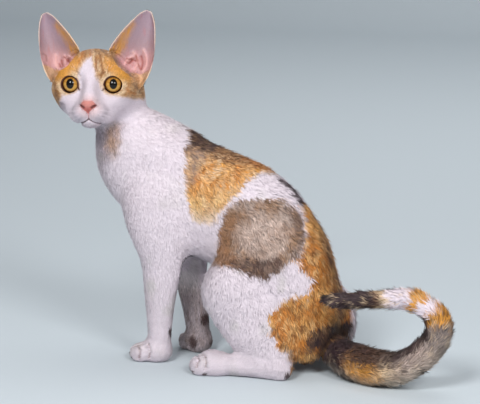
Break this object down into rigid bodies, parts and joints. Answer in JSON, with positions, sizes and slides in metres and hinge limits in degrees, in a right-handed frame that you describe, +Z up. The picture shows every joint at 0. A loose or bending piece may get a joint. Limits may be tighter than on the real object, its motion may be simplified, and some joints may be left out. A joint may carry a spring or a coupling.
{
  "type": "devon rex cat, still model",
  "caption": "Life-size still model of a slender cat with large ears and a short wavy coat, sitting low on its hind feet, head turned, tail curled on the floor.",
  "frame": {"origin": "centre of the bounding box's footprint, at floor level", "axes": "+X from the head end towards the tail, +Y towards the cat's right side, +Z up"},
  "size_m": [0.4366, 0.1408, 0.3534],
  "materials": {
    "white_coat": "short soft fur, matt",
    "orange_coat": "short soft fur, matt",
    "brown_coat": "short soft fur, matt",
    "ear_skin": "thin bare skin with down, satin",
    "amber_eye": "wet, glossy"
  },
  "bodies": {
    "root": {"head": "orange_coat", "ear_left": "ear_skin", "ear_right": "ear_skin", "eye_left": "amber_eye", "eye_right": "amber_eye", "neck": "white_coat", "torso": "white_coat", "foreleg_left": "white_coat", "foreleg_right": "white_coat", "forepaw_left": "white_coat", "forepaw_right": "white_coat", "thigh_left": "white_coat", "thigh_right": "white_coat", "hindfoot_left": "white_coat", "hindfoot_right": "white_coat", "tail_root": "brown_coat", "tail_middle": "brown_coat", "tail_curl": "brown_coat", "tail_upper": "brown_coat", "tail_tip": "brown_coat"}
  },
  "joints": []
}
